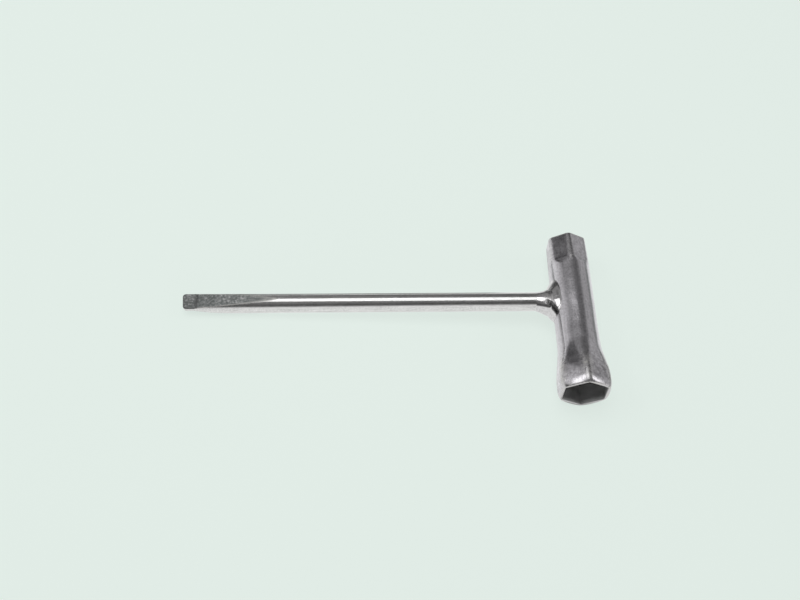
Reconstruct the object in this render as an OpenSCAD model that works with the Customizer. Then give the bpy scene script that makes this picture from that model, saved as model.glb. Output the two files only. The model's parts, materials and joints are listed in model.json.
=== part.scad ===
// Chainsaw combination wrench: a steel rod with a screwdriver blade, welded square onto a
// cross tube whose two ends are formed into hexagon sockets.
// The rod's axis is X, with the blade towards -X. The tube's axis is Y, with the large
// socket towards -Y. The origin is where the two axes cross. All lengths are millimetres.

/* [Socket tube] */
// Outside diameter of the round middle of the tube
tube_od = 20; // [18.5:0.1:22]
// Wall thickness of the round middle of the tube
tube_wall = 2.3; // [1.8:0.1:2.8]
// Distance from the rod's axis to the mouth of the large socket
large_reach = 49.5; // [44:0.5:60]
// Distance from the rod's axis to the mouth of the small socket
small_reach = 34; // [30:0.5:45]

/* [Large socket] */
// Size across flats of the nut that the large socket turns
large_nut = 19; // [17:0.5:20]
// Wall thickness on the flats of the large socket
large_wall = 2; // [1.7:0.1:2.6]
// Radius of the outer corners of the large socket
large_corner = 3.2; // [2:0.1:5]
// Length of the full hexagon outside, from the mouth
large_len = 6; // [5:0.5:14]
// Length of the flare that runs from the full hexagon to the round tube
large_flare = 19; // [8:0.5:22]
// Length over which the outer edge of the mouth rolls in
large_roll = 4.5; // [1:0.1:4.8]
// How far the outer edge rolls in at the mouth
large_edge = 0.7; // [0.3:0.1:1.2]
// How much the radius of the outer corners grows at the mouth
large_softening = 3; // [0:0.1:4]
// Depth of the straight hexagon inside, from the mouth
large_depth = 10; // [7:0.5:14]
// Length of the cone inside that runs from the straight hexagon to the round bore
large_cone = 8; // [5:0.5:10]

/* [Small socket] */
// Size across flats of the nut that the small socket turns
small_nut = 13; // [10:0.5:14]
// Wall thickness on the flats of the small socket
small_wall = 2.6; // [2:0.1:3]
// Radius of the outer corners of the small socket
small_corner = 3.6; // [2:0.1:5]
// Length of the full hexagon outside, from the mouth
small_len = 13; // [8:0.5:16]
// Length of the ramp that runs from the full hexagon to the round tube
small_ramp = 4; // [2:0.5:8]
// Length over which the outer edge of the mouth rolls in
small_roll = 0.8; // [0.5:0.1:4]
// How far the outer edge rolls in at the mouth
small_edge = 0.4; // [0.2:0.1:1.2]
// Depth of the straight hexagon inside, from the mouth
small_depth = 14; // [8:0.5:17]

/* [Rod] */
// Diameter of the rod
rod_d = 9; // [7:0.1:11]
// Distance from the tube's axis to the tip of the blade
rod_reach = 186.3; // [140:0.1:220]

/* [Screwdriver blade] */
// Length of the blade, from the tip to where its faces run out on the rod
blade_len = 42.8; // [30:0.1:60]
// How far the pressed blade spreads past the rod's radius at the tip
blade_spread = 0.2; // [0.05:0.05:0.25]
// How far each blade face bulges out of a straight line at its middle
blade_bulge = 0.2; // [0.05:0.05:0.5]
// Length of the parallel tip
tip_len = 6; // [3:0.5:10]
// Thickness of the parallel tip
tip_thick = 1.5; // [0.8:0.1:2.5]
// Height of the small shoulder between the tip and each blade face
tip_step = 0.2; // [0:0.05:0.4]
// Width of the parallel tip
tip_width = 8.5; // [5:0.1:8.6]
// Radius of the two corners of the tip
tip_corner = 1.8; // [0.3:0.1:2.5]
// Angle by which the tip's end is ground out of square, longer on the small socket's side
tip_skew = 6; // [0:1:10]
// Length over which the blade narrows from the rod's width to the tip's width
tip_taper = 5; // [2:0.5:10]
// Height of the tip's middle plane above the rod's axis
tip_rise = 1.4; // [0:0.1:2]

/* [Weld] */
// Length of the weld's collar along the rod, from the front of the tube
collar_len = 8.2; // [5:0.1:12]
// How far the collar stands out above and below the rod at the crease where the bead starts
collar_rise = 1.6; // [1:0.1:2.5]
// How far the collar stands out there towards the large socket
collar_near = 2.2; // [1:0.1:3]
// How far the collar stands out there towards the small socket
collar_far = 0.9; // [0.6:0.1:3]
// How far the collar hangs below a straight line from the rod to the crease
collar_sag = 0.2; // [0:0.05:0.3]
// Height of the crease over the tube
bead_stand = 2.8; // [1:0.1:4]
// How far the bead reaches past the rod along the tube
bead_along = 6; // [4:0.1:9]
// How far the bead reaches above and below the rod on the tube
bead_rise = 2.7; // [2.2:0.1:3.6]
// How far the bead bulges out of a straight line between the crease and the tube
bead_bulge = 0.1; // [0.05:0.05:0.8]
// Height of the weld's toe over the rod and the tube
weld_toe = 0.2; // [0.1:0.05:0.5]
// How far the rod's welded end swells at the tube's axis
weld_swell = 0.2; // [0.05:0.05:0.3]

/* [Fits] */
// Clearance across flats between a nut and its socket
nut_clearance = 0.2; // [0.1:0.05:0.5]
// Seam between the pieces that the weld joins
weld_seam = 0.03; // [0.02:0.01:0.1]

/* [Hidden] */
$fn = 96;

// How far a cutting shape runs past the face that it cuts
past = 1;
// Number of edges in a hexagon
sides = 6;
// Angle between neighbouring hexagon corners
side_angle = 360 / sides;
// Steps along one side of the tube's outline, in a rounded edge, in a flare and in a ramp
side_steps = 12;
round_steps = 5;
flare_steps = 12;
ramp_steps = 6;
// Power that draws the outline's points together at the hexagon's corners
corner_crowding = 1.6;
// Steps round the weld, along its collar, across its bead and down its foot on the tube
weld_turns = 60;
collar_steps = 4;
bead_steps = 6;
foot_steps = 4;
// Powers of the outlines of the bead on the tube and of the crease towards the large and the
// small socket, each between an ellipse at 2 and a rectangle
bead_squareness = 3;
near_squareness = 3.2;
far_squareness = 2.2;
// Angle between the points of a rounded tip corner
corner_step = 15;

// How far the blade's faces run in from their root before the blade starts to spread
spread_lead = 4;
// Angle that turns the stock's start line away from the blade's faces
stock_seam = 45;
// Plain stretch of rod between the start of its swollen end and the weld's toe
swell_lead = 0.5;
// Share of a flare or ramp that is rounded at each end
soft_share = 0.3;

tube_r = tube_od / 2;
bore_r = tube_r - tube_wall;
rod_r = rod_d / 2;
large_af = large_nut + nut_clearance;
small_af = small_nut + nut_clearance;
swell_start = tube_r + collar_len + swell_lead;
large_mouth = -large_reach;
small_mouth = small_reach;

// Part way from one value to another
function mix(a, b, t) = a + (b - a) * t;

// Even share of a transition, straight in the middle and rounded at both ends
function ease(t) =
    t > 0.5
        ? 1 - ease(1 - t)
        : t < soft_share
            ? t * t / (2 * soft_share * (1 - soft_share))
            : (t - soft_share / 2) / (1 - soft_share);

// How far an arc of unit height stands off its chord
function arch(t) = 4 * t * (1 - t);

// Radius at one polar angle of a hexagon with rounded corners. A flat faces angle 0.
// With the corner radius equal to the half width across flats, this is a circle.
function hex_radius(half_af, corner, angle) =
    let (
        half_side = side_angle / 2,
        turn = abs((angle + half_side) % side_angle - half_side),
        flat_end = atan((half_af - corner) * tan(half_side) / half_af),
        centre = (half_af - corner) / cos(half_side),
        off = half_side - turn
    )
    turn <= flat_end
        ? half_af / cos(turn)
        : centre * cos(off) + sqrt(corner * corner - pow(centre * sin(off), 2));

// Polar angles of the outline's points, close together at the corners
function outline_angles() = [
    for (side = [0 : sides - 1])
    for (i = [0 : side_steps - 1])
    let (share = (2 * i + 1) / side_steps - 1)
    side_angle * (side + 0.5) + sign(share) * pow(abs(share), corner_crowding) * side_angle / 2
];

// A section of the tube's outside is a height along the tube, a half width across flats and a
// corner radius. At a mouth, the outer edge rolls in along a quarter of an ellipse, and the
// corners may soften on the way.
function mouth_sections(mouth, roll, edge, half_af, corner, softening = 0) = [
    for (i = [0 : round_steps])
    let (
        turn = 90 * i / round_steps,
        share = 1 - sin(turn)
    )
    [mouth + roll * (1 - cos(turn)), half_af - edge * share, corner + (softening - edge) * share]
];

// Sections of the change from a full hexagon to the round tube
function change_sections(start, length, half_af, corner, steps) = [
    for (i = [0 : steps])
    let (t = ease(i / steps))
    [start + length * i / steps, mix(half_af, tube_r, t), mix(corner, tube_r, t)]
];

function reversed(list) = [for (i = [len(list) - 1 : -1 : 0]) list[i]];

// All sections, from the large mouth to the small one
function skin_sections() =
    let (
        large_half = large_af / 2 + large_wall,
        small_half = small_af / 2 + small_wall
    )
    concat(
        mouth_sections(large_mouth, large_roll, large_edge, large_half, large_corner, large_softening),
        change_sections(large_mouth + large_len, large_flare, large_half, large_corner, flare_steps),
        reversed(change_sections(small_mouth - small_len, -small_ramp, small_half, small_corner,
                                 ramp_steps)),
        reversed(mouth_sections(small_mouth, -small_roll, small_edge, small_half, small_corner))
    );

// Triangles between two neighbouring rings of a grid of points
function band_faces(low, high, count) = [
    for (j = [0 : count - 1])
    let (next = (j + 1) % count)
    for (face = [
        [low * count + j, high * count + j, high * count + next],
        [low * count + j, high * count + next, low * count + next]
    ])
    face
];

// Solid outside of the tube, lofted through its sections along Z
module tube_skin() {
    angles = outline_angles();
    sections = skin_sections();
    count = len(angles);
    rings = len(sections);
    rim = [
        for (s = sections)
        for (angle = angles)
        let (r = hex_radius(s[1], s[2], angle))
        [r * cos(angle), r * sin(angle), s[0]]
    ];
    middles = [[0, 0, large_mouth], [0, 0, small_mouth]];
    last_ring = (rings - 1) * count;
    bands = [for (k = [0 : rings - 2]) each band_faces(k, k + 1, count)];
    large_cap = [for (j = [0 : count - 1]) [rings * count, j, (j + 1) % count]];
    small_cap = [for (j = [0 : count - 1]) [rings * count + 1, last_ring + (j + 1) % count, last_ring + j]];
    polyhedron(concat(rim, middles), concat(large_cap, bands, small_cap), convexity = 6);
}

// Hexagon across flats, with a flat facing +X
module hexagon(af) {
    rotate(side_angle / 2)
        circle(d = af / cos(side_angle / 2), $fn = sides);
}

// Everything that is hollow in the tube: the large hexagon, a cone down to the round bore,
// the bore, a short cone and the small hexagon
module tube_hollow() {
    large_corner_r = large_af / 2 / cos(side_angle / 2);
    cone_start = large_mouth + large_depth;
    cone_end = cone_start + large_cone;
    cone_slope = large_cone / (large_corner_r - bore_r);
    small_start = small_mouth - small_len - small_ramp;
    small_end = small_mouth - small_depth;
    intersection() {
        translate([0, 0, large_mouth - past])
            linear_extrude(small_end - large_mouth + 2 * past)
                hexagon(large_af);
        rotate_extrude()
            polygon([
                [0, large_mouth - 2 * past],
                [large_corner_r + past, large_mouth - 2 * past],
                [large_corner_r + past, cone_start - past * cone_slope],
                [bore_r, cone_end],
                [bore_r, small_start],
                [small_af / 2, small_end],
                [0, small_end]
            ]);
    }
    translate([0, 0, small_start])
        linear_extrude(small_mouth - small_start + past)
            hexagon(small_af);
}

module socket_tube() {
    color("silver")
        rotate([-90, 0, 0])
            difference() {
                tube_skin();
                tube_hollow();
            }
}

// Disc whose edge runs through two points and bulges out to the left of the way between them
module bulging_disc(from, to, bulge) {
    chord = norm(to - from);
    radius = chord * chord / (8 * bulge) + bulge / 2;
    along = (to - from) / chord;
    inward = [along[1], -along[0]];
    centre = (from + to) / 2 + inward * (radius - bulge);
    translate(centre)
        circle(r = radius, $fn = 360);
}

// Side view of the rod, X across and Z up: a full shank, then two blade faces that close in
// on the tip
module rod_side() {
    tip_x = -rod_reach;
    face_x = tip_x + tip_len;
    root_x = tip_x + blade_len;
    shank_x = root_x + past;
    half = rod_r + past;
    face_half = tip_thick / 2 + tip_step;
    translate([shank_x, -half])
        square([rod_reach - blade_len + past, 2 * half]);
    intersection() {
        translate([face_x, -half])
            square([shank_x - face_x + past, 2 * half]);
        bulging_disc([face_x, tip_rise + face_half], [root_x, rod_r], blade_bulge);
        bulging_disc([root_x, -rod_r], [face_x, tip_rise - face_half], blade_bulge);
    }
    translate([tip_x - past, tip_rise - tip_thick / 2])
        square([tip_len + 2 * past, tip_thick]);
}

// Outline of the rod in plan on one side, +1 or -1 along Y: a round tip corner, the parallel
// tip, the taper and the full width
function plan_edge(side) =
    let (
        tip_x = -rod_reach,
        half = rod_r + past,
        corner_arc = [
            for (angle = [180 : -corner_step : 90])
            let (y = tip_width / 2 - tip_corner + tip_corner * sin(angle))
            [tip_x + tip_corner + tip_corner * cos(angle) - side * y * tan(tip_skew), side * y]
        ]
    )
    concat(corner_arc, [
        [tip_x + tip_len, side * tip_width / 2],
        [tip_x + tip_len + tip_taper, side * rod_r],
        [tip_x + tip_len + tip_taper, side * half],
        [past, side * half]
    ]);

// Plan view of the rod, X across and Y up: full width, narrowing to a tip with round corners
module rod_plan() {
    polygon(concat(plan_edge(1), reversed(plan_edge(-1))));
}

// Round stock of the rod along -X: a swollen end at the tube, the plain shank, and a blade
// that spreads towards the tip
module rod_stock() {
    rotate([0, -90, 0])
        rotate(stock_seam)
            rotate_extrude()
                polygon([
                    [0, 0],
                    [rod_r + weld_swell, 0],
                    [rod_r, swell_start],
                    [rod_r, rod_reach - blade_len + spread_lead],
                    [rod_r + blade_spread, rod_reach + past],
                    [0, rod_reach + past]
                ]);
}

module shank_rod() {
    color("gainsboro")
        difference() {
            intersection() {
                rod_stock();
                rotate([90, 0, 0])
                    linear_extrude(rod_d + 2 * past, center = true)
                        rod_side();
                linear_extrude(rod_d + 2 * past, center = true)
                    rod_plan();
            }
            rotate([90, 0, 0])
                cylinder(r = tube_r + weld_seam, h = rod_d + 2 * past, center = true);
        }
}

// Radius of the swollen rod, with its seam, at one distance from the tube's axis
function stock_radius(distance) = mix(rod_r + weld_swell, rod_r, distance / swell_start) + weld_seam;

// Distance from the rod's axis, in the direction of one angle, to an outline that stands out
// from the rod by one amount along the tube and by another above and below
function outline_reach(angle, along, rise, squareness) =
    pow(pow(abs(cos(angle)) / (rod_r + along), squareness)
        + pow(abs(sin(angle)) / (rod_r + rise), squareness), -1 / squareness);

// The same to the crease, whose side towards the large socket is fuller
function crease_reach(angle) =
    cos(angle) < 0
        ? outline_reach(angle, collar_near, collar_rise, near_squareness)
        : outline_reach(angle, collar_far, collar_rise, far_squareness);

// Place along the rod of a round face about the tube's axis, at one height
function tube_x(radius, height) = -sqrt(pow(radius, 2) - pow(height, 2));

// Point at a distance along the rod and a distance from its axis, in the direction of one angle
function around_rod(p, angle) = [p[0], p[1] * cos(angle), p[1] * sin(angle)];

// Outline of the weld in the direction of one angle round the rod. A collar widens along the
// rod to a crease, and a bulging bead runs from there out onto the tube. A low step at each
// end is the toe, and the rest is the foot on the tube.
function weld_outline(angle) =
    let (
        tube_face = tube_r + weld_seam,
        tube_top = tube_r + weld_toe,
        reach = outline_reach(angle, bead_along, bead_rise, bead_squareness),
        collar_r = crease_reach(angle),
        heel = [-tube_r - collar_len, stock_radius(tube_r + collar_len)],
        crease = [tube_x(tube_r + bead_stand, collar_r * sin(angle)), collar_r],
        bead_end = [tube_x(tube_top, reach * sin(angle)), reach],
        across = bead_end - crease,
        outward = [-across[1], across[0]] / norm(across),
        collar = [
            for (i = [0 : collar_steps - 1])
            let (t = i / collar_steps)
            mix(heel + [0, weld_toe], crease, t) - [0, collar_sag * arch(t)]
        ],
        bead = [
            for (i = [0 : bead_steps])
            let (t = i / bead_steps)
            mix(crease, bead_end, t) + outward * bead_bulge * arch(t)
        ],
        foot = [
            for (i = [0 : foot_steps])
            let (
                t = i / foot_steps,
                y = mix(reach, stock_radius(tube_r), t) * cos(angle),
                z = mix(reach * tube_face / tube_top, stock_radius(tube_r), t) * sin(angle)
            )
            [tube_x(tube_face, z), y, z]
        ]
    )
    concat([for (p = concat([heel], collar, bead)) around_rod(p, angle)], foot);

module weld_fillet() {
    outlines = [for (k = [0 : weld_turns - 1]) weld_outline(360 * k / weld_turns)];
    count = len(outlines[0]);
    points = [for (outline = outlines) each outline];
    faces = [for (k = [0 : weld_turns - 1]) each band_faces((k + 1) % weld_turns, k, count)];
    color("darkgray")
        polyhedron(points, faces, convexity = 6);
}

socket_tube();
shank_rod();
weld_fillet();
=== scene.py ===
"""A plated steel chainsaw wrench on a pale studio floor: the looks of its tube, rod and weld."""
import json
import math

import bmesh
import bpy
import numpy as np
from mathutils import Matrix, Vector, noise


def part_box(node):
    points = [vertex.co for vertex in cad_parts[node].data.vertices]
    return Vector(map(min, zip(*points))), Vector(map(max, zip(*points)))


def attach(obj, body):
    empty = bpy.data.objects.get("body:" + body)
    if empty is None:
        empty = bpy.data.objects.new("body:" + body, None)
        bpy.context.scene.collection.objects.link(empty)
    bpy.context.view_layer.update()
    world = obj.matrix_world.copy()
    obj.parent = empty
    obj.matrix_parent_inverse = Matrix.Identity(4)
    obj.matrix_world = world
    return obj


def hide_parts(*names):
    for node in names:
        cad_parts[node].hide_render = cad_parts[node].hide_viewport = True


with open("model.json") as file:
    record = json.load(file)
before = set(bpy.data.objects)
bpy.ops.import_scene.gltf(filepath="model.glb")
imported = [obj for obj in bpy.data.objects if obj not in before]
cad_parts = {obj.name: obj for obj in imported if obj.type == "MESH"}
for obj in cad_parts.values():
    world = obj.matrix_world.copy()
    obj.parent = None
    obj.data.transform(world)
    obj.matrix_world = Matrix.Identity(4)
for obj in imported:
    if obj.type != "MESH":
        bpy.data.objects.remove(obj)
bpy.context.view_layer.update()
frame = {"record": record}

# Lengths on the wrench are millimetres up to the point where a mesh is made
MM = 0.001

mounts = {mount["name"]: mount for mount in frame["record"]["mounts"]}


def mount_size(name, key):
    """One size of a mount, in millimetres."""
    return mounts[name]["dims"][key]


def mount_place(name):
    """Place of a mount, in millimetres."""
    return Vector(mounts[name]["pos_m"]) / MM


# Tube, from the frame
tube_low, tube_high = (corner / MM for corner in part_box("socket_tube"))
LARGE_MOUTH = tube_low.y
SMALL_MOUTH = tube_high.y
LARGE_HALF = tube_high.x
LARGE_HEX = mount_size("large_socket", "r_mm")
LARGE_DEPTH = mount_size("large_socket", "length_mm")
SMALL_HEX = mount_size("small_socket", "r_mm")
SMALL_DEPTH = mount_size("small_socket", "length_mm")
BORE_R = mount_size("tube_bore", "r_mm")

# Tube, sizes that the frame doesn't hold
TUBE_R = 10.0
SMALL_HALF = 9.2
LARGE_CORNER = 3.2
LARGE_LEN = 6.0
LARGE_FLARE = 19.0
LARGE_ROLL = 4.5
LARGE_EDGE = 0.7
LARGE_CONE = 8.0
SMALL_CORNER = 3.6
SMALL_LEN = 13.0
SMALL_RAMP = 4.0
SMALL_ROLL = 0.8
SMALL_EDGE = 0.4
SOFT_SHARE = 0.3
MOUTH_CHAMFER = 0.3
HOLLOW_CORNER = 0.4

# Depth of the waves from drawing the tube, with their length on each axis and their seed
DRAWN_WAVE = 0.008
DRAWN_SCALES = (5, 28, 5)
DRAWN_SEED = 3
# Depth of the dents where the large socket was pressed, with their size on each axis and their seed
PRESS_DENT = 0.065
DENT_SCALES = (3, 6, 3)
DENT_SEED = 11
# How far the large socket's corners lie in for the bow of its flats, and their further roll at the mouth
FLAT_BOW = 0.15
CORNER_ROLL = 0.5
ROLL_SHARPNESS = 3
# Waist of the tube past the flare: its depth at the sides and at the top and bottom, its place and
# its reach towards the flare and away from it
WAIST = 0.12
TOP_WAIST = 0.38
WAIST_PLACE = 9.0
WAIST_BEFORE = 7
WAIST_AFTER = 14
# By how much the small socket's half width and its corners' radius grow from the middle of the socket
# towards the tube, and shrink towards the mouth
SMALL_TAPER = 0.19
SMALL_SOFTENING = 0.6

# Rod and blade, from the frame
ROD_R = mount_size("shank", "r_mm")
TIP_X, _, TIP_RISE = mount_place("blade_tip")
SHANK_MIDDLE = mount_place("shank").x
SHANK_HALF = mount_size("shank", "length_mm") / 2
SWELL_X = SHANK_MIDDLE + SHANK_HALF
SPREAD_X = SHANK_MIDDLE - SHANK_HALF

# Rod and blade, sizes that the frame doesn't hold
ROD_SINK = 1
WELD_SWELL = 0.2
SPREAD_LEAD = 4.0
BLADE_SPREAD = 0.2
BLADE_BULGE = 0.2
TIP_LEN = 6.0
TIP_THICK = 1.5
TIP_STEP = 0.2
TIP_WIDTH = 8.5
TIP_SKEW = math.tan(math.radians(6))
TIP_CORNER = 1.8
TIP_TAPER = 5.0
STEP_LEN = 0.6
END_ROUND = 0.25
FACE_RUNOUT = 12.0
EDGE_SHARPNESS = 90.0
# Number of tapers past the tip after which the blade's sides cut no more
SIDES_RUNOUT = 3

# Weld
COLLAR_LEN = 8.2
COLLAR_SAG = 0.2
CREASE_NEAR = 6.7
CREASE_FAR = 5.4
CREASE_RISE = 6.1
NEAR_SQUARENESS = 3.2
FAR_SQUARENESS = 2.2
BEAD_STAND = 2.8
BEAD_ALONG = ROD_R + 6.0
BEAD_RISE = ROD_R + 2.7
BEAD_BULGE = 0.1
BEAD_SQUARENESS = 3
# Depth of the groove at the crease, and its reach as a share of the collar and of the bead
CREASE_DEPTH = 0.15
CREASE_ON_COLLAR = 0.12
CREASE_ON_BEAD = 0.1
# Number and height of the ripples round the bead, and the shift of their phase on the way across it
BEAD_WAVES = 19
BEAD_WAVE = 0.012
WAVE_SLANT = 4
# Depth of the hollow where the bead runs out onto the tube
TOE_HOLLOW = 0.15


def ease(t):
    """Share of a change, slow at both ends."""
    return (1 - np.cos(np.pi * np.clip(t, 0, 1))) / 2


def soft_line(t):
    """Share of a change that is straight in the middle and rounded at both ends."""
    t = np.clip(t, 0, 1)
    near = np.minimum(t, 1 - t)
    bend = 2 * SOFT_SHARE * (1 - SOFT_SHARE)
    low = np.where(near < SOFT_SHARE, near**2 / bend, (near - SOFT_SHARE / 2) / (1 - SOFT_SHARE))
    return np.where(t > 0.5, 1 - low, low)


def mix(a, b, t):
    """Value from a to b at a share t of the way."""
    return a + (b - a) * t


def arch(t):
    """Arc of height 1 over a chord from 0 to 1."""
    return 4 * t * (1 - t)


def hump(t, middle, width):
    """Smooth hump of height 1."""
    return np.exp(-(((t - middle) / width) ** 2))


def spaced(start, stop, step):
    """Even places from start to stop, about one step apart."""
    return np.linspace(start, stop, max(2, int(round(abs(stop - start) / step)) + 1))


# Way from the noise of one seed to that of the next
SEED_SHIFT = np.array([1.0, 0.37, -0.71])


def ripple(points, scales, seed):
    """Smooth noise from -1 to 1 at points, with its own length of wave on each axis."""
    shift = SEED_SHIFT * seed
    return np.array([noise.noise(Vector(p)) for p in points / np.array(scales) + shift])


def mesh_object(name, points, faces, body="root"):
    """Smooth mesh from points in millimetres, riding on a body."""
    mesh = bpy.data.meshes.new(name)
    mesh.from_pydata((np.asarray(points) * MM).tolist(), [], faces)
    build = bmesh.new()
    build.from_mesh(mesh)
    bmesh.ops.recalc_face_normals(build, faces=build.faces)
    build.to_mesh(mesh)
    build.free()
    mesh.polygons.foreach_set("use_smooth", [True] * len(mesh.polygons))
    piece = bpy.data.objects.new(name, mesh)
    bpy.context.scene.collection.objects.link(piece)
    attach(piece, body)
    return piece


def ring_faces(rings, count, wrap):
    """Quads between neighbouring rings of equally many points."""
    index = np.arange(rings * count).reshape(rings, count)
    upper = np.roll(index, -1, axis=0)
    lower = index
    if not wrap:
        upper = upper[:-1]
        lower = lower[:-1]
    quads = np.stack([lower, np.roll(lower, -1, 1), np.roll(upper, -1, 1), upper], axis=-1)
    return quads.reshape(-1, 4).tolist()


def set_share(piece, name, values):
    """Store one number per point, for a material to read."""
    layer = piece.data.attributes.new(name, "FLOAT", "POINT")
    layer.data.foreach_set("value", np.asarray(values, np.float32).ravel())


# Number of flats of a socket, and the angle between neighbouring ones
SIDES = 6
SIDE_ANGLE = math.pi / 3


def hex_radius(half, corner, angles):
    """Radius of a hexagon with rounded corners, with a flat facing angle 0."""
    turn = np.abs((angles + SIDE_ANGLE / 2) % SIDE_ANGLE - SIDE_ANGLE / 2)
    flat_end = math.atan((half - corner) * math.tan(SIDE_ANGLE / 2) / half)
    centre = (half - corner) / math.cos(SIDE_ANGLE / 2)
    off = SIDE_ANGLE / 2 - turn
    round_part = centre * np.cos(off) + np.sqrt(np.maximum(corner**2 - (centre * np.sin(off)) ** 2, 0))
    return np.where(turn <= flat_end, half / np.cos(turn), round_part)


def on_corners(angles, sharpness):
    """Share that is 1 on the hexagons' corners and 0 on the middle of their flats."""
    return ((1 - np.cos(SIDES * angles)) / 2) ** sharpness


# Tube: one closed wall, lofted through rings from the large mouth along the outside to the small
# mouth and back through the inside
TUBE_TURNS = 360
MOUTH_STEPS = 14
WALL_STEP = 0.5
HOLLOW_STEP = 2.0


def rolled_mouth(mouth, roll, edge, half, corner):
    """Rings of a mouth whose outer edge rolls in, from the mouth."""
    rings = []
    for turn in np.linspace(0, math.pi / 2, MOUTH_STEPS):
        inset = edge * (1 - math.sin(turn))
        rings.append((mouth + roll * (1 - math.cos(turn)), half - inset, corner - inset))
    return rings


def change_to_round(start, length, half, corner):
    """Rings from a hexagon to the round tube."""
    rings = []
    for place in spaced(start, start + length, WALL_STEP):
        t = float(soft_line((place - start) / length))
        rings.append((place, mix(half, TUBE_R, t), mix(corner, TUBE_R, t)))
    return rings


def straight_rings(start, stop, step, *sizes):
    """Rings of the same sizes between two places, without the rings at those places."""
    return [(place, *sizes) for place in spaced(start, stop, step)[1:-1]]


def outer_rings(angles):
    """Places along Y and radii of the rings along the outside of the tube."""
    flare_start = LARGE_MOUTH + LARGE_LEN
    flare_end = flare_start + LARGE_FLARE
    ramp_end = SMALL_MOUTH - SMALL_LEN
    ramp_start = ramp_end - SMALL_RAMP
    roll_start = SMALL_MOUTH - SMALL_ROLL
    wide_half, wide_corner = SMALL_HALF + SMALL_TAPER, SMALL_CORNER + SMALL_SOFTENING
    slim_half, slim_corner = SMALL_HALF - SMALL_TAPER, SMALL_CORNER - SMALL_SOFTENING
    rings = rolled_mouth(LARGE_MOUTH, LARGE_ROLL, LARGE_EDGE, LARGE_HALF, LARGE_CORNER)
    rings += straight_rings(LARGE_MOUTH + LARGE_ROLL, flare_start, WALL_STEP, LARGE_HALF, LARGE_CORNER)
    rings += change_to_round(flare_start, LARGE_FLARE, LARGE_HALF, LARGE_CORNER)
    rings += straight_rings(flare_end, ramp_start, WALL_STEP, TUBE_R, TUBE_R)
    rings += change_to_round(ramp_end, -SMALL_RAMP, wide_half, wide_corner)[::-1]
    for place, half, corner in straight_rings(ramp_end, roll_start, WALL_STEP, SMALL_HALF, SMALL_CORNER):
        t = (place - ramp_end) / SMALL_LEN
        rings.append((place, half + SMALL_TAPER * (1 - 2 * t), corner + SMALL_SOFTENING * (1 - 2 * t)))
    rings += rolled_mouth(SMALL_MOUTH, -SMALL_ROLL, SMALL_EDGE, slim_half, slim_corner)[::-1]
    return [(place, hex_radius(half, corner, angles)) for place, half, corner in rings]


def inner_rings(angles):
    """Places along Y and radii of the rings from the small mouth through the hollow to the large one."""
    large_in = hex_radius(LARGE_HEX, HOLLOW_CORNER, angles)
    small_in = hex_radius(SMALL_HEX, HOLLOW_CORNER, angles)
    corner_r = LARGE_HEX / math.cos(SIDE_ANGLE / 2)
    small_end = SMALL_MOUTH - SMALL_DEPTH
    bore_end = SMALL_MOUTH - SMALL_LEN - SMALL_RAMP
    cone_start = LARGE_MOUTH + LARGE_DEPTH
    cone_end = cone_start + LARGE_CONE
    rings = [(SMALL_MOUTH, small_in + MOUTH_CHAMFER), (SMALL_MOUTH - MOUTH_CHAMFER, small_in)]
    rings += straight_rings(SMALL_MOUTH - MOUTH_CHAMFER, small_end, HOLLOW_STEP, small_in)
    for place in spaced(small_end, bore_end, WALL_STEP):
        cone = mix(SMALL_HEX, BORE_R, (small_end - place) / (small_end - bore_end))
        rings.append((place, np.maximum(small_in, cone)))
    rings += straight_rings(bore_end, cone_end, HOLLOW_STEP, np.full_like(angles, BORE_R))
    for place in spaced(cone_end, cone_start, WALL_STEP):
        cone = mix(BORE_R, corner_r, (cone_end - place) / LARGE_CONE)
        rings.append((place, np.minimum(large_in, cone)))
    rings += straight_rings(cone_start, LARGE_MOUTH + MOUTH_CHAMFER, HOLLOW_STEP, large_in)
    rings += [(LARGE_MOUTH + MOUTH_CHAMFER, large_in), (LARGE_MOUTH, large_in + MOUTH_CHAMFER)]
    return rings


def ring_points(rings, angles):
    """Points of rings round the Y axis."""
    places = np.array([place for place, _ in rings])[:, None]
    radii = np.array([radius for _, radius in rings])
    return np.stack([radii * np.cos(angles), places + 0 * radii, radii * np.sin(angles)], axis=-1)


def on_large(from_large):
    """Share of the large socket in the tube's form, which falls to 0 along the flare."""
    return ease((LARGE_LEN + LARGE_FLARE - from_large) / LARGE_FLARE)


def past_roll(from_large):
    """Share that rises from 0 at the large mouth to 1 where its roll ends."""
    return ease(from_large / LARGE_ROLL)


def worn_outside(points):
    """Outside of the tube, pushed in a little by drawing waves, by dents where it was pressed, at
    the corners between bowed flats, by the roll of those corners and by the waist."""
    flat = points.reshape(-1, 3)
    around = np.arctan2(flat[:, 2], flat[:, 0])
    radius = np.hypot(flat[:, 0], flat[:, 2])
    from_large = flat[:, 1] - LARGE_MOUTH
    waves = 0.5 + 0.5 * ripple(flat, DRAWN_SCALES, DRAWN_SEED)
    dents = np.maximum(0, ripple(flat, DENT_SCALES, DENT_SEED))
    pressed = on_large(from_large) * past_roll(from_large)
    depth = DRAWN_WAVE * waves * past_roll(from_large) + PRESS_DENT * dents * pressed
    depth += FLAT_BOW * on_corners(around, 1) * on_large(from_large)
    to_mouth = np.clip(1 - from_large / LARGE_ROLL, 0, 1)
    depth += CORNER_ROLL * on_corners(around, ROLL_SHARPNESS) * to_mouth**2
    past_flare = from_large - LARGE_LEN - LARGE_FLARE
    upright = (flat[:, 2] / radius) ** 2
    waist = hump(past_flare, WAIST_PLACE, np.where(past_flare > WAIST_PLACE, WAIST_AFTER, WAIST_BEFORE))
    depth += mix(WAIST, TOP_WAIST, upright) * waist
    pushed = flat * np.stack([1 - depth / radius, np.ones_like(radius), 1 - depth / radius], axis=-1)
    return pushed.reshape(points.shape)


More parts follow.
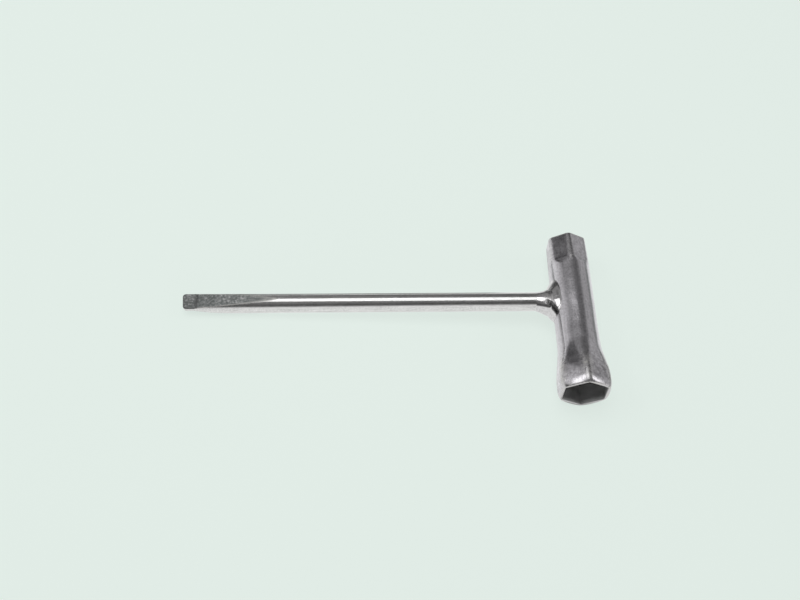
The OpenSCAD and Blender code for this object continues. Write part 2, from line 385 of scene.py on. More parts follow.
# Finish of the tube. Direction round it where the large socket was pressed hardest, share of the
# pressing square to that, and share of the small socket's pressing.
HARD_PRESS = math.pi / 6
SOFT_PRESS = 0.35
SMALL_PRESS = 0.35
# Reach of the wear at both mouths, and share of the wear on the large mouth's rolled corners
MOUTH_WEAR = 1.2
ROLL_WEAR = 0.9
CORNER_SHARPNESS = 6
# Wear along the ridges of the large socket: its middle from the mouth and its reach
RIDGE_PLACE = 10.0
RIDGE_REACH = 5.0
RIDGE_SHARPNESS = 3
# Painted shade on the large socket's top corner, which breaks up the overhead lamp's highlight across
# the corner near the mouth: its share, its reach along the tube and how close it keeps to the top
CORNER_PAINTED_SHADE = 0.25
CORNER_SHADE_REACH = 3.0
CORNER_SHADE_SHARPNESS = 4


def mark_tube(piece, points, angles, outside_count):
    """Store where the tube is hollow, pitted and worn, and where its top corner is darkened as painted
    shade.
    """
    inside = np.zeros(points.shape[:2])
    inside[outside_count + 1 : -1] = 1
    outer = 1 - inside
    from_large = points[..., 1] - LARGE_MOUTH
    from_small = SMALL_MOUTH - points[..., 1]
    hard_pressed = mix(SOFT_PRESS, 1.0, (1 + np.cos(2 * (angles - HARD_PRESS))) / 2)
    pressed = hard_pressed * on_large(from_large) * past_roll(from_large)
    pressed += SMALL_PRESS * ease((SMALL_LEN + SMALL_RAMP - from_small) / SMALL_RAMP)
    on_corner = on_corners(angles, CORNER_SHARPNESS)
    on_top = np.clip(np.sin(angles), 0, 1) ** CORNER_SHADE_SHARPNESS
    # Painted shade: the top corner near the mouth is darkened so that the lamp's highlight breaks there
    corner_shade = CORNER_PAINTED_SHADE * on_corner * on_top * hump(from_large, LARGE_ROLL, CORNER_SHADE_REACH)
    at_mouth = 1 - ease(np.minimum(from_large, from_small) / MOUTH_WEAR)
    on_roll = ROLL_WEAR * on_corner * hump(from_large, LARGE_ROLL, LARGE_ROLL)
    on_ridge = on_corners(angles, RIDGE_SHARPNESS) * hump(from_large, RIDGE_PLACE, RIDGE_REACH)
    wear = np.maximum.reduce([at_mouth, on_roll, on_ridge, pressed * on_corner])
    set_share(piece, "hollow", inside)
    set_share(piece, "sooty", outer * corner_shade)
    set_share(piece, "pitted", outer * pressed)
    set_share(piece, "worn", outer * wear)


def make_tube():
    angles = np.linspace(0, 2 * math.pi, TUBE_TURNS, endpoint=False)
    outside = worn_outside(ring_points(outer_rings(angles), angles))
    hollow = ring_points(inner_rings(angles), angles)
    points = np.concatenate([outside, hollow])
    faces = ring_faces(len(points), TUBE_TURNS, True)
    piece = mesh_object("formed_socket_tube", points.reshape(-1, 3), faces)
    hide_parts("socket_tube")
    mark_tube(piece, points, angles, len(outside))
    return piece


# Rod: round stock that two faces and two sides cut down to the blade
ROD_TURNS = 192
# Points of the fine outline that each section's points are picked from
OUTLINE_TURNS = 2880
# Steps in the rounded end of the tip, and length of a step on each stretch of the rod
END_STEPS = 6
ON_TIP, ON_SHOULDER, ON_BLADE, ON_SHANK = 0.25, 0.08, 0.3, 2.0
ROOT_X = SPREAD_X + SPREAD_LEAD
FACE_X = TIP_X + TIP_LEN
FACE_HALF = TIP_THICK / 2 + TIP_STEP
# A distance that no cut reaches, and the smallest divisor
NEVER = 1e3
TINY = 1e-9


def tip_share(x):
    """Share that rises from 0 on the blade over the shoulder to 1 on the tip."""
    return float(ease((FACE_X - x) / STEP_LEN + 0.5))


def face_height(x, tip_height, root_height):
    """Height of a blade face that bulges between the tip's shoulder and its root on the rod."""
    t = (x - FACE_X) / (ROOT_X - FACE_X)
    return mix(tip_height, root_height, t) + math.copysign(BLADE_BULGE, root_height) * arch(t)


def rod_limits(x):
    """Half width, lower face, upper face and round radius of the rod at one place."""
    spread = max(0.0, (SPREAD_X - x) / (SPREAD_X - TIP_X))
    swell = max(0.0, (x - SWELL_X) / -SWELL_X)
    radius = ROD_R + BLADE_SPREAD * spread + WELD_SWELL * swell
    shoulder = tip_share(x)
    upper = mix(face_height(x, TIP_RISE + FACE_HALF, ROD_R), TIP_RISE + TIP_THICK / 2, shoulder)
    lower = mix(face_height(x, TIP_RISE - FACE_HALF, -ROD_R), TIP_RISE - TIP_THICK / 2, shoulder)
    if x > ROOT_X + FACE_RUNOUT:
        upper, lower = NEVER, -NEVER
    taper = max(0.0, (x - FACE_X) / TIP_TAPER)
    width = mix(TIP_WIDTH / 2, ROD_R, taper) if taper < SIDES_RUNOUT else NEVER
    from_end = x - TIP_X
    if from_end < TIP_CORNER:
        width -= TIP_CORNER - math.sqrt(TIP_CORNER**2 - (TIP_CORNER - from_end) ** 2)
    return width, lower, upper, radius


def picked_points(line, count):
    """Points along a line, spaced by its length and by how much it turns, without its last one."""
    step = np.diff(line, axis=0)
    length = np.hypot(*step.T)
    heading = np.unwrap(np.arctan2(step[:, 1], step[:, 0]))
    bend = np.abs(np.diff(heading, append=heading[-1]))
    along = np.concatenate([[0], np.cumsum(length / length.sum() + bend / bend.sum())])
    wanted = np.linspace(0, along[-1], count, endpoint=False)
    return np.stack([np.interp(wanted, along, line[:, axis]) for axis in (0, 1)], axis=-1)


def rod_section(x, inset=0.0):
    """Closed outline of the rod at one place, with crisp edges and more points where it turns."""
    width, lower, upper, radius = rod_limits(x)
    middle = (max(lower, -radius) + min(upper, radius)) / 2
    turn = np.linspace(0, 2 * math.pi, OUTLINE_TURNS, endpoint=False)
    c, s = np.cos(turn), np.sin(turn)
    reach = [
        -middle * s + np.sqrt(radius**2 - (middle * c) ** 2) - inset,
        np.where(s > 0, (upper - middle - inset) / np.maximum(s, TINY), NEVER),
        np.where(s < 0, (middle - lower - inset) / np.maximum(-s, TINY), NEVER),
        (width - inset) / np.maximum(np.abs(c), TINY),
    ]
    powers = sum(np.minimum(r, NEVER) ** -EDGE_SHARPNESS for r in reach)
    distance = powers ** (-1 / EDGE_SHARPNESS)
    loop = np.stack([distance * c, middle + distance * s], axis=-1)
    loop = np.concatenate([loop, loop[:1]])
    quarter = OUTLINE_TURNS // 4
    quarters = [loop[k * quarter : (k + 1) * quarter + 1] for k in range(4)]
    outline = np.concatenate([picked_points(part, ROD_TURNS // 4) for part in quarters])
    return np.concatenate([np.full((ROD_TURNS, 1), x), outline], axis=1)


def rod_rings():
    """Sections of the rod from the tip's rounded end into the tube's wall, with a square end."""
    sections = []
    for turn in np.linspace(0, math.pi / 2, END_STEPS):
        place = TIP_X + END_ROUND * (1 - math.cos(turn))
        sections.append(rod_section(place, END_ROUND * (1 - math.sin(turn))))
    stretches = [
        (TIP_X + END_ROUND, FACE_X - STEP_LEN, ON_TIP),
        (FACE_X - STEP_LEN, FACE_X + STEP_LEN, ON_SHOULDER),
        (FACE_X + STEP_LEN, ROOT_X + FACE_RUNOUT, ON_BLADE),
        (ROOT_X + FACE_RUNOUT, ROD_SINK - TUBE_R, ON_SHANK),
    ]
    for start, stop, step in stretches:
        sections += [rod_section(x) for x in spaced(start, stop, step)[1:]]
    return np.array(sections)


# Finish of the blade: length over which it turns matt, depth of the matt skin and of its fade, reach of
# the worn edges, share of that wear which the tip lacks, reach of the painted shadow at the shoulder's
# step and of the dirt along the tip's rim, and the shares of that shadow, of dirt on the tip and of dirt
# on its rim
MATT_START = 4
MATT_SKIN = 0.16
MATT_FADE = 0.12
EDGE_WEAR = 0.35
TIP_UNWORN = 0.8
SHOULDER_REACH = 0.8
RIM_REACH = 1.2
SHOULDER_PAINTED_SHADOW = 0.6
TIP_GRIME = 0.2
RIM_GRIME = 0.3


def rod_marks(x, y, z):
    """How matt and worn the rod is at one point of its form with a square end, and how dark it is
    painted there: dirt on the tip and its rim, and a painted shadow at the shoulder.
    """
    width, lower, upper, radius = rod_limits(x)
    off_face = min(upper - z, z - lower)
    off_side = min(width - abs(y), radius - math.hypot(y, z))
    on_blade = float(ease((ROOT_X + MATT_START - x) / MATT_START))
    on_tip = tip_share(x)
    at_rim = 1 - float(ease(min(width - abs(y), x - TIP_X) / RIM_REACH))
    at_shoulder = float(hump(x, FACE_X + STEP_LEN, SHOULDER_REACH))
    matt = on_blade * float(ease((MATT_SKIN - off_face) / MATT_FADE))
    # Darkness: painted shadow at the shoulder's step, and dirt on the tip and along its rim
    sooty = matt * (SHOULDER_PAINTED_SHADOW * at_shoulder + on_tip * (TIP_GRIME + RIM_GRIME * at_rim))
    edge = max(abs(off_face), abs(off_side)) if x > TIP_X + 2 * END_ROUND else abs(off_face)
    worn = (on_blade - TIP_UNWORN * on_tip) * (1 - float(ease(edge / EDGE_WEAR)))
    return matt, worn, sooty


def make_rod():
    rings = rod_rings()
    middles = [rings[0].mean(axis=0), rings[-1].mean(axis=0)]
    square = np.concatenate([rings.reshape(-1, 3), middles])
    points = square.copy()
    points[:, 0] -= TIP_SKEW * square[:, 1] * np.clip((FACE_X - square[:, 0]) / TIP_LEN, 0, 1)
    count = len(rings)
    faces = ring_faces(count, ROD_TURNS, False)
    last = (count - 1) * ROD_TURNS
    for j in range(ROD_TURNS):
        after = (j + 1) % ROD_TURNS
        faces.append([count * ROD_TURNS, after, j])
        faces.append([count * ROD_TURNS + 1, last + j, last + after])
    piece = mesh_object("shank_rod_with_blade", points, faces)
    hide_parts("shank_rod")
    matt, worn, sooty = zip(*(rod_marks(*point) for point in square))
    set_share(piece, "matt", matt)
    set_share(piece, "worn", worn)
    set_share(piece, "sooty", sooty)
    return piece


# Weld: a collar that widens along the rod to a crease, then a rippled bead out onto the tube
WELD_TURNS = 288
COLLAR_STEPS = 28
BEAD_STEPS = 30
WELD_SINK = 0.3
# Share of the bead's rise at which its foot lies, inside the tube's wall
FOOT_SHARE = 0.97

# Painted dark marks on the weld: two streaks of painted dark reflection, a dark spot, and a patch of
# painted shade that dims the rod's highlight on the collar. Each lies at an angle in degrees round the
# rod, from the small socket's side over the top to the large one's, and at a share across the bead,
# which is below 0 on the collar. The two streaks slant by an angle on their way across the bead.
NEAR_STREAK = {"start": 128, "slant": 27, "half": 8, "narrowing": 3, "fade": 5}
FAR_STREAK = {"start": 56, "slant": -20, "half": 8, "narrowing": 0, "fade": 8}
COLLAR_SPOT = {"angle": 78, "width": 14, "place": -0.1, "reach": 0.09}
COLLAR_DIMMING = {"angle": 112, "width": 16, "place": -0.12, "reach": 0.12}
FAR_SHARE = 0.7
SPOT_SHARE = 0.8
DIMMING_SHARE = 0.3
# Where on the collar the marks begin, and the share of it over which they fade in
MARKS_START = -0.5
MARKS_FADE = 0.3
# Factor that gives the cubic curve of the bead's hollow a peak of 1
HOLLOW_PEAK = 27 / 4


def tube_x(radius, height):
    """Place along the rod of a round face about the tube's axis."""
    return -math.sqrt(radius**2 - height**2)


def squared_reach(across, up, power):
    """Radius in one direction of an outline between an ellipse, at power 2, and a rectangle."""
    return (abs(across) ** power + abs(up) ** power) ** (-1 / power)


def streak_mark(turn, t, start, slant, half, narrowing, fade):
    """Share of a streak that slants and narrows on its way across the bead."""
    return 1 - ease((abs(turn - start - slant * t) - half + narrowing * t) / fade)


def spot_mark(turn, t, angle, width, place, reach):
    """Share of a soft spot at one place."""
    return hump(turn, angle, width) * hump(t, place, reach)


def weld_painted_shade(angle, t):
    """Darkness painted on the weld, in one direction round the rod and at a share t across the bead: one
    slanted streak towards the large socket and a fainter one towards the small one, both painted dark
    reflection, and on the collar a dark spot and a patch of painted shade that dims the rod's highlight."""
    turn = math.degrees(math.atan2(abs(math.sin(angle)), math.cos(angle)))
    marks = [
        streak_mark(turn, t, **NEAR_STREAK),
        FAR_SHARE * streak_mark(turn, t, **FAR_STREAK),
        SPOT_SHARE * spot_mark(turn, t, **COLLAR_SPOT),
        DIMMING_SHARE * spot_mark(turn, t, **COLLAR_DIMMING),
    ]
    return float(max(marks) * ease((t - MARKS_START) / MARKS_FADE))


def toe_hollow(t):
    """Hollow of depth 1 over the outer half of the bead, which lets it run out onto the tube."""
    outer = max(0.0, 2 * t - 1)
    return HOLLOW_PEAK * outer**2 * (1 - outer)


def weld_outline(angle):
    """Points of the weld in one direction round the rod, and how dark each is painted."""
    c, s = math.cos(angle), math.sin(angle)
    reach = squared_reach(c / BEAD_ALONG, s / BEAD_RISE, BEAD_SQUARENESS)
    if c < 0:
        crease_r = squared_reach(c / CREASE_NEAR, s / CREASE_RISE, NEAR_SQUARENESS)
    else:
        crease_r = squared_reach(c / CREASE_FAR, s / CREASE_RISE, FAR_SQUARENESS)
    heel = np.array([-TUBE_R - COLLAR_LEN, ROD_R])
    crease = np.array([tube_x(TUBE_R + BEAD_STAND, crease_r * s), crease_r])
    bead_end = np.array([tube_x(TUBE_R, reach * s), reach])
    across = bead_end - crease
    outward = np.array([-across[1], across[0]]) / np.hypot(*across)
    profile, dark = [], []
    for t in np.linspace(0, 1, COLLAR_STEPS, endpoint=False):
        dip = COLLAR_SAG * arch(t) + CREASE_DEPTH * hump(t, 1, CREASE_ON_COLLAR)
        profile.append(mix(heel, crease, t) - [0, dip])
        dark.append(weld_painted_shade(angle, t - 1))
    for t in np.linspace(0, 1, BEAD_STEPS + 1):
        waves = BEAD_WAVE * math.sin(BEAD_WAVES * angle + WAVE_SLANT * t) * arch(t)
        swell = BEAD_BULGE * arch(t) + waves - CREASE_DEPTH * hump(t, 0, CREASE_ON_BEAD)
        swell -= TOE_HOLLOW * toe_hollow(t)
        profile.append(mix(crease, bead_end, t) + outward * swell)
        dark.append(weld_painted_shade(angle, t))
    foot = [
        [tube_x(TUBE_R - WELD_SINK, reach * s * FOOT_SHARE), reach],
        [-TUBE_R + WELD_SINK, ROD_R - WELD_SINK],
    ]
    profile = [heel - [WELD_SINK, WELD_SINK], *profile, *np.array(foot)]
    points = [[x, r * c, r * s] for x, r in profile]
    return points, [0, *dark, 0, 0]


def make_weld():
    outlines = [weld_outline(angle) for angle in np.linspace(0, 2 * math.pi, WELD_TURNS, endpoint=False)]
    points = np.array([points for points, _ in outlines])
    faces = ring_faces(WELD_TURNS, points.shape[1], True)
    piece = mesh_object("weld_bead", points.reshape(-1, 3), faces)
    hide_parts("weld_fillet")
    set_share(piece, "sooty", [dark for _, dark in outlines])
    return piece


class Nodes:
    """Short way to add linked shader nodes to a material or the world."""

    def __init__(self, tree):
        self.tree = tree
        tree.nodes.clear()

    def add(self, kind, inputs=None, **settings):
        """New node, with a link or a constant on each named input."""
        made = self.tree.nodes.new(kind)
        for key, value in settings.items():
            setattr(made, key, value)
        for key, value in (inputs or {}).items():
            if isinstance(value, bpy.types.NodeSocket):
                self.tree.links.new(value, made.inputs[key])
            else:
                made.inputs[key].default_value = value
        return made

    def math(self, operation, a, b=0.0):
        return self.add("ShaderNodeMath", {0: a, 1: b}, operation=operation).outputs[0]

    def times(self, a, b):
        return self.math("MULTIPLY", a, b)

    def plus(self, base, value, factor):
        """Base plus value times factor."""
        return self.math("ADD", base, self.times(value, factor))

    def ramp(self, value, stops):
        """Colour that changes with a value, from stops of one place and one colour."""
        made = self.add("ShaderNodeValToRGB", {"Fac": value})
        elements = made.color_ramp.elements
        while len(elements) < len(stops):
            elements.new(1.0)
        for element, (place, colour) in zip(elements, stops):
            element.position = place
            element.color = (*colour, 1)
        return made.outputs["Color"]

    def spread(self, value, low, high, out_low=0.0, out_high=1.0):
        """Value moved from the range low to high into another one, and held inside it."""
        made = self.add(
            "ShaderNodeMapRange",
            {"Value": value, "From Min": low, "From Max": high, "To Min": out_low, "To Max": out_high},
        )
        return made.outputs["Result"]

    def blend(self, factor, a, b):
        """Colour a where the factor is 0 and colour b where it is 1."""
        made = self.add("ShaderNodeMix", {"Factor": factor}, data_type="RGBA")
        for key, value in ((6, a), (7, b)):
            if isinstance(value, bpy.types.NodeSocket):
                self.tree.links.new(value, made.inputs[key])
            else:
                made.inputs[key].default_value = (*value, 1)
        return made.outputs[2]

    def noise(self, place, size, detail=3.0):
        """Noise with one value over about one length of size, which is one number or one per axis."""
        sizes = size if isinstance(size, tuple) else (size, size, size)
        scale = [1 / (length * MM) for length in sizes]
        mapped = self.add("ShaderNodeMapping", {"Vector": place, "Scale": scale}).outputs[0]
        made = self.add("ShaderNodeTexNoise", {"Vector": mapped, "Scale": 1.0, "Detail": detail})
        return made.outputs["Fac"]

    def share(self, name):
        """Number that is stored at the points of the piece."""
        return self.add("ShaderNodeAttribute", attribute_name=name).outputs["Fac"]


def grey(value):
    return (value, value, value)


def tinted(colour, factor):
    return tuple(channel * factor for channel in colour)


# Plating. Depth in millimetres and strength of its fine relief, and shares of the streaks and the
# specks in its tone and in that relief.
RELIEF = 0.016
RELIEF_STRENGTH = 0.4
STREAK_TONE, SPECK_TONE = 0.4, 0.6
STREAK_RELIEF, SPECK_RELIEF = 0.35, 0.65
# Detail of the noise of each kind of mark, with its size in millimetres where all steels share it
STREAK_DETAIL = 4.0
SPECK_DETAIL = 5.0
CLOUD = 5.0
DENT, DENT_DETAIL = 2.2, 2.0
STAIN, STAIN_DETAIL = 2.0, 4.0
PIT, PIT_DETAIL = 1.0, 6.0
SMUDGE, SMUDGE_DETAIL = 6.0, 2.0
# Depth of the dents against the fine relief, and shares of the pits and smudges in the matt tone
DENT_DEPTH = 7.0
PIT_TONE, SMUDGE_TONE = 0.7, 0.3
# Range of the clouds' noise, and the roughness there against the steel's own
CLOUD_RANGE = (0.3, 0.7)
CLOUD_ROUGHNESS = (0.8, 1.3)
# Ranges of noise over which the stains, the wear and the dark marks of dirt and painted shade change,
# and the wear and that darkness there
STAIN_RANGE = (0.6, 0.4)
WEAR_RANGE = (0.4, 0.6, 0.3, 1.0)
GRIME_AND_SHADE_RANGE = (0.35, 0.55, 0.75, 1.0)
# Colours of the marks, and factors on the steel's own colour
TONES = [(0.35, 0.8), (0.5, 1.0), (0.65, 1.13)]
STAIN_TINT = 0.5
MATT_TONES = [(0.4, (0.205, 0.22, 0.215)), (0.53, (0.33, 0.345, 0.34)), (0.66, grey(0.66))]
WORN_COLOUR = (0.64, 0.63, 0.61)
# Dark colour of the dirt on the blade's tip and of the painted shade
GRIME_AND_SHADE_COLOUR = grey(0.05)
HOLLOW_TONES = [(0.35, grey(0.45)), (0.65, grey(0.6))]
# Roughness that each mark adds
MATT_ROUGHNESS = 0.2
WORN_ROUGHNESS = 0.25
GRIME_AND_SHADE_ROUGHNESS = 0.2
HOLLOW_ROUGHNESS = 0.4


def plated_steel(name, colour, streak, speck, roughness, marks):
    """Bright plating with streaks, clouds and fine specks. Streak is the length of a streak on each
    axis, and speck the size of a speck. Marks are the attributes of the piece that say where it is
    hollow, matt, pitted or worn, and where it is darkened by dirt and by painted shade."""
    material = bpy.data.materials.new(name)
    material.use_nodes = True
    nodes = Nodes(material.node_tree)
    place = nodes.add("ShaderNodeTexCoord").outputs["Object"]
    streaks = nodes.noise(place, streak, STREAK_DETAIL)
    clouds = nodes.noise(place, CLOUD)
    specks = nodes.noise(place, speck, SPECK_DETAIL)
    tone = nodes.plus(nodes.times(streaks, STREAK_TONE), specks, SPECK_TONE)
    base = nodes.ramp(tone, [(stop, tinted(colour, factor)) for stop, factor in TONES])
    rough = nodes.spread(clouds, *CLOUD_RANGE, *(roughness * factor for factor in CLOUD_ROUGHNESS))
    relief = nodes.plus(nodes.times(streaks, STREAK_RELIEF), specks, SPECK_RELIEF)
    if "pitted" in marks:
        pitted = nodes.share("pitted")
        dents = nodes.noise(place, DENT, DENT_DETAIL)
        relief = nodes.plus(relief, pitted, nodes.times(dents, DENT_DEPTH))
        stained = nodes.spread(nodes.noise(place, STAIN, STAIN_DETAIL), *STAIN_RANGE)
        base = nodes.blend(nodes.times(pitted, stained), base, tinted(colour, STAIN_TINT))
    if "matt" in marks:
        matt = nodes.share("matt")
        pits = nodes.noise(place, PIT, PIT_DETAIL)
        smudges = nodes.noise(place, SMUDGE, SMUDGE_DETAIL)
        shade = nodes.plus(nodes.times(pits, PIT_TONE), smudges, SMUDGE_TONE)
        base = nodes.blend(matt, base, nodes.ramp(shade, MATT_TONES))
        rough = nodes.plus(rough, matt, MATT_ROUGHNESS)
        relief = nodes.plus(relief, matt, pits)
    if "worn" in marks:
        rubbed = nodes.times(nodes.share("worn"), nodes.spread(specks, *WEAR_RANGE))
        base = nodes.blend(rubbed, base, WORN_COLOUR)
        rough = nodes.plus(rough, rubbed, WORN_ROUGHNESS)
    # Dark marks: dirt on the blade's tip, and painted shade and painted dark reflection on the weld, the
    # blade's shoulder and the socket's top corner
    if "sooty" in marks:
        sooty = nodes.times(nodes.share("sooty"), nodes.spread(specks, *GRIME_AND_SHADE_RANGE))
        base = nodes.blend(sooty, base, GRIME_AND_SHADE_COLOUR)
        rough = nodes.plus(rough, sooty, GRIME_AND_SHADE_ROUGHNESS)
    if "hollow" in marks:
        hollow = nodes.share("hollow")
        base = nodes.blend(hollow, base, nodes.ramp(clouds, HOLLOW_TONES))
        rough = nodes.plus(rough, hollow, HOLLOW_ROUGHNESS)
    bump = nodes.add(
        "ShaderNodeBump", {"Height": relief, "Strength": RELIEF_STRENGTH, "Distance": RELIEF * MM}
    )
    shader = nodes.add(
        "ShaderNodeBsdfPrincipled",
        {"Base Color": base, "Roughness": rough, "Metallic": 1.0, "Normal": bump.outputs[0]},
    )
    nodes.add("ShaderNodeOutputMaterial", {"Surface": shader.outputs[0]})
    return material


# Floor: pale paper. Its glow keeps the background even for the camera, and in reflections it is
# a pool of light round the wrench, shaded behind the rod, below the tube and to the right.
FLOOR_REACH = 20.0
FLOOR_COLOUR = (0.761, 0.847, 0.799)
PAPER_SHARE = 0.31
FLOOR_GLOW = 0.832
POOL_GLOW = 0.86
POOL_SHADE = 0.05
# Share of the paper's colour that the far floor shows, for a backdrop without a line
FAR_FLOOR = 0.915
TUBE_MIDDLE = (LARGE_MOUTH + SMALL_MOUTH) / 2
TUBE_HALF = (SMALL_MOUTH - LARGE_MOUTH) / 2
# Places in metres where each shade begins and where it is full: behind the rod, on its near and far
# side along Y and towards the tube along X, below the tube, off its axis and past its ends, and to
# the right, with the share that it reaches there
BEHIND_NEAR = (0.0, 0.01)
BEHIND_FAR = (0.045, 0.035)
BESIDE_TUBE = (-0.028, -0.038)
BELOW_TUBE = (0.012, 0.006)
PAST_ENDS = ((TUBE_HALF + 4) * MM, (TUBE_HALF + 2) * MM)
TO_RIGHT = (0.045, 0.07)
RIGHT_SHARE = 0.85


def pool_shade(nodes):
    """Share of shade in the pool of light on the floor."""
    place = nodes.add("ShaderNodeNewGeometry").outputs["Position"]
    split = nodes.add("ShaderNodeSeparateXYZ", {"Vector": place})
    x, y = split.outputs["X"], split.outputs["Y"]
    behind = nodes.times(nodes.spread(y, *BEHIND_NEAR), nodes.spread(y, *BEHIND_FAR))
    behind_rod = nodes.times(behind, nodes.spread(x, *BESIDE_TUBE))
    off_axis = nodes.math("ABSOLUTE", x)
    off_middle = nodes.math("ABSOLUTE", nodes.math("SUBTRACT", y, TUBE_MIDDLE * MM))
    below_tube = nodes.times(nodes.spread(off_axis, *BELOW_TUBE), nodes.spread(off_middle, *PAST_ENDS))
    to_right = nodes.spread(x, *TO_RIGHT, 0.0, RIGHT_SHARE)
    return nodes.math("MAXIMUM", nodes.math("MAXIMUM", behind_rod, below_tube), to_right)


def floor_paper():
    """Paper that glows evenly for the camera, and as a pool of light in reflections."""
    material = bpy.data.materials.new("floor_paper")
    material.use_nodes = True
    nodes = Nodes(material.node_tree)
    path = nodes.add("ShaderNodeLightPath")
    lit = nodes.spread(pool_shade(nodes), 0.0, 1.0, POOL_GLOW, POOL_SHADE)
    through = nodes.math("MAXIMUM", path.outputs["Is Camera Ray"], path.outputs["Is Transmission Ray"])
    glow = nodes.add(
        "ShaderNodeEmission",
        {"Color": (*FLOOR_COLOUR, 1), "Strength": nodes.times(through, FLOOR_GLOW)},
    )
    pool = nodes.add("ShaderNodeEmission", {"Strength": nodes.times(path.outputs["Is Glossy Ray"], lit)})
    paper = nodes.add("ShaderNodeBsdfDiffuse", {"Color": (*tinted(FLOOR_COLOUR, PAPER_SHARE), 1)})
    glows = nodes.add("ShaderNodeAddShader", {0: glow.outputs[0], 1: pool.outputs[0]})
    both = nodes.add("ShaderNodeAddShader", {0: glows.outputs[0], 1: paper.outputs[0]})
    nodes.add("ShaderNodeOutputMaterial", {"Surface": both.outputs[0]})
    return material


def make_floor():
    """Pale floor through the three places that the wrench rests on: both sockets' lowest corners
    and the rod's underside at the root of the blade."""
    small_drop = (SMALL_HALF - SMALL_CORNER) / math.cos(SIDE_ANGLE / 2) + SMALL_CORNER
    large_rest = Vector((0, LARGE_MOUTH + LARGE_LEN, tube_low.z))
    small_rest = Vector((0, SMALL_MOUTH - SMALL_ROLL, -small_drop))
    rod_rest = Vector((ROOT_X, 0, -ROD_R))
    up = (large_rest - small_rest).cross(rod_rest - small_rest).normalized()
    up = up if up.z > 0 else -up
    mesh = bpy.data.meshes.new("floor")
    corners = [(-1, -1, 0), (1, -1, 0), (1, 1, 0), (-1, 1, 0)]
    mesh.from_pydata([[c * FLOOR_REACH for c in corner] for corner in corners], [], [(0, 1, 2, 3)])
    floor = bpy.data.objects.new("floor", mesh)
    bpy.context.scene.collection.objects.link(floor)
    turn = up.to_track_quat("Z", "Y").to_matrix().to_4x4()
    floor.matrix_world = Matrix.Translation(large_rest * MM) @ turn
    mesh.materials.append(floor_paper())


# Studio: three soft lamps in metres, and dim walls whose brightness follows the direction
LAMPS = {
    "overhead_softbox": {
        "place": (-0.11, 0.12, 0.79), "target": (-0.11, 0.12, 0.0), "size": (0.48, 0.47), "level": 1.85,
    },
    "left_softbox": {
        "place": (-0.64, 0.03, 0.74), "target": (-0.1, 0.0, 0.0), "size": (0.55, 0.22), "level": 2.0,
    },
    "right_softbox": {
        "place": (0.82, 0.1, 0.44), "target": (0.0, 0.0, 0.0), "size": (0.24, 0.2), "level": 2.4,
    },
}
# Brightness behind the wrench, from the left wall over the ceiling to the right wall
BACK_WALLS = [
    (-1.0, 0.78), (-0.8, 0.74), (-0.7, 0.64), (-0.55, 0.42), (-0.4, 0.32), (-0.1, 0.25),
    (0.35, 0.17), (0.61, 0.13), (0.68, 0.43), (1.0, 0.43),
]
# The same further back, where there is a dark gap on the left, and at the far horizon
FAR_WALLS = [
    (-1.0, 0.9), (-0.76, 0.75), (-0.66, 0.08), (-0.52, 0.05), (-0.44, 0.28), (-0.15, 0.3),
    (0.12, 0.15), (0.5, 0.13), (0.57, 0.5), (1.0, 0.55),
]
HORIZON = 0.18
# Brightness in front of the wrench, from the horizon up to overhead
FRONT_WALLS = [(0.0, 1.05), (0.25, 1.0), (0.4, 0.45), (0.5, 0.14), (0.7, 0.08), (0.9, 0.16), (1.0, 0.22)]
# Directions along X between which those levels come to hang lower on the left, and by how much
LOW_FRONT = {"start": 0.08, "stop": -0.22, "drop": 0.27}
# Directions along Y between which the back walls change to the far ones, those to the horizon, and
# the back walls to the front ones
FAR_FROM = (0.52, 0.62)
HORIZON_FROM = (0.82, 0.92)
FRONT_FROM = (0.15, -0.15)


def area_light(name, place, target, size, level):
    """Soft rectangular lamp of one brightness that faces its target."""
    data = bpy.data.lights.new(name, "AREA")
    data.shape = "RECTANGLE"
    data.size, data.size_y = size
    data.energy = level * math.pi * size[0] * size[1]
    lamp = bpy.data.objects.new(name, data)
    bpy.context.scene.collection.objects.link(lamp)
    lamp.location = place
    lamp.rotation_mode = "QUATERNION"
    lamp.rotation_quaternion = (Vector(target) - Vector(place)).to_track_quat("-Z", "Y")


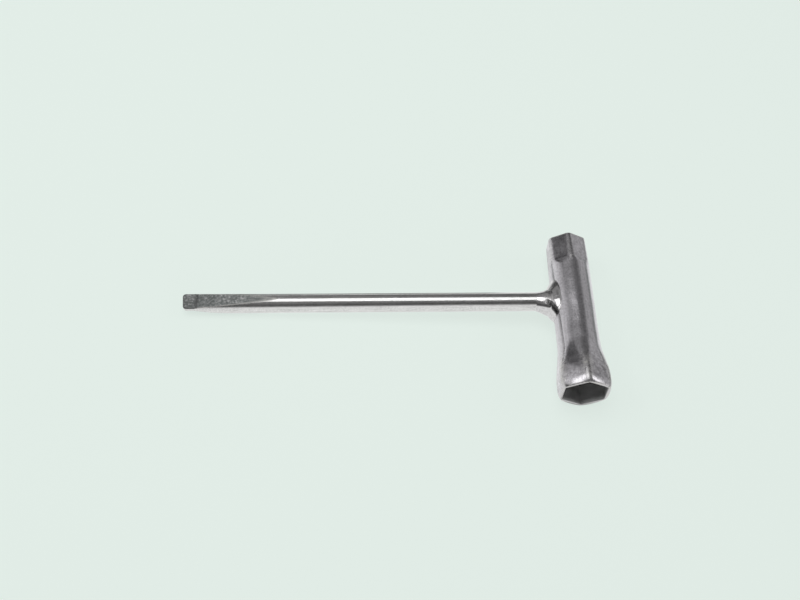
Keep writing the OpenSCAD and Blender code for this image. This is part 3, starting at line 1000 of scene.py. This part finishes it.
def make_studio():
    """Lamps, and a world that is walls in reflections and an even backdrop for the camera."""
    for name, lamp in LAMPS.items():
        area_light(name, **lamp)
    world = bpy.data.worlds.new("studio")
    bpy.context.scene.world = world
    world.use_nodes = True
    nodes = Nodes(world.node_tree)
    path = nodes.add("ShaderNodeLightPath")
    way = nodes.add("ShaderNodeTexCoord").outputs["Generated"]
    split = nodes.add("ShaderNodeSeparateXYZ", {"Vector": way})
    x, y, z = (split.outputs[axis] for axis in "XYZ")
    across = nodes.spread(x, -1.0, 1.0)
    back = nodes.ramp(across, [((side + 1) / 2, grey(level)) for side, level in BACK_WALLS])
    drop = nodes.spread(x, LOW_FRONT["start"], LOW_FRONT["stop"], 0.0, LOW_FRONT["drop"])
    height = nodes.math("ADD", z, drop)
    front = nodes.ramp(height, [(place, grey(level)) for place, level in FRONT_WALLS])
    far = nodes.ramp(across, [((side + 1) / 2, grey(level)) for side, level in FAR_WALLS])
    back = nodes.blend(nodes.spread(y, *FAR_FROM), back, far)
    back = nodes.blend(nodes.spread(y, *HORIZON_FROM), back, grey(HORIZON))
    walls = nodes.blend(nodes.spread(y, *FRONT_FROM), back, front)
    seen = nodes.blend(path.outputs["Is Camera Ray"], walls, tinted(FLOOR_COLOUR, FAR_FLOOR))
    backdrop = nodes.add("ShaderNodeBackground", {"Color": seen, "Strength": 1.0})
    nodes.add("ShaderNodeOutputWorld", {"Surface": backdrop.outputs[0]})


# Camera fitted to the photograph: 800 by 600 pixels, focal length in pixels, places in metres
PHOTO_W = 800
FOCAL_PX = 938.43
SENSOR_W = 36.0
CLIP_START = 0.01
CAMERA_PLACE = Vector((-0.09042, -0.24076, 0.37934))
CAMERA_RIGHT = Vector((0.9998, -0.0143, 0.0104))
CAMERA_BACK = Vector((-0.0165, -0.5381, 0.8427))


def make_camera():
    data = bpy.data.cameras.new("camera")
    data.sensor_width = SENSOR_W
    data.lens = FOCAL_PX / PHOTO_W * SENSOR_W
    data.clip_start = CLIP_START
    camera = bpy.data.objects.new("camera", data)
    bpy.context.scene.collection.objects.link(camera)
    back = CAMERA_BACK.normalized()
    up = back.cross(CAMERA_RIGHT).normalized()
    right = up.cross(back)
    turn = Matrix((right, up, back)).transposed().to_4x4()
    camera.matrix_world = Matrix.Translation(CAMERA_PLACE) @ turn
    bpy.context.scene.camera = camera


bpy.context.scene.view_settings.view_transform = "Standard"
make_camera()
make_floor()
make_studio()
tube_steel = plated_steel(
    "plated_tube_steel",
    colour=(0.575, 0.56, 0.585),
    streak=(0.9, 10.0, 0.9),
    speck=1.0,
    roughness=0.2,
    marks=("hollow", "pitted", "worn", "sooty"),
)
rod_steel = plated_steel(
    "plated_rod_steel",
    colour=(0.67, 0.665, 0.66),
    streak=(12.0, 0.8, 0.8),
    speck=0.6,
    roughness=0.2,
    marks=("matt", "worn", "sooty"),
)
weld_steel = plated_steel(
    "plated_weld_steel",
    colour=(0.62, 0.61, 0.615),
    streak=(1.5, 1.5, 1.5),
    speck=0.6,
    roughness=0.14,
    marks=("sooty",),
)
make_tube().data.materials.append(tube_steel)
make_rod().data.materials.append(rod_steel)
make_weld().data.materials.append(weld_steel)
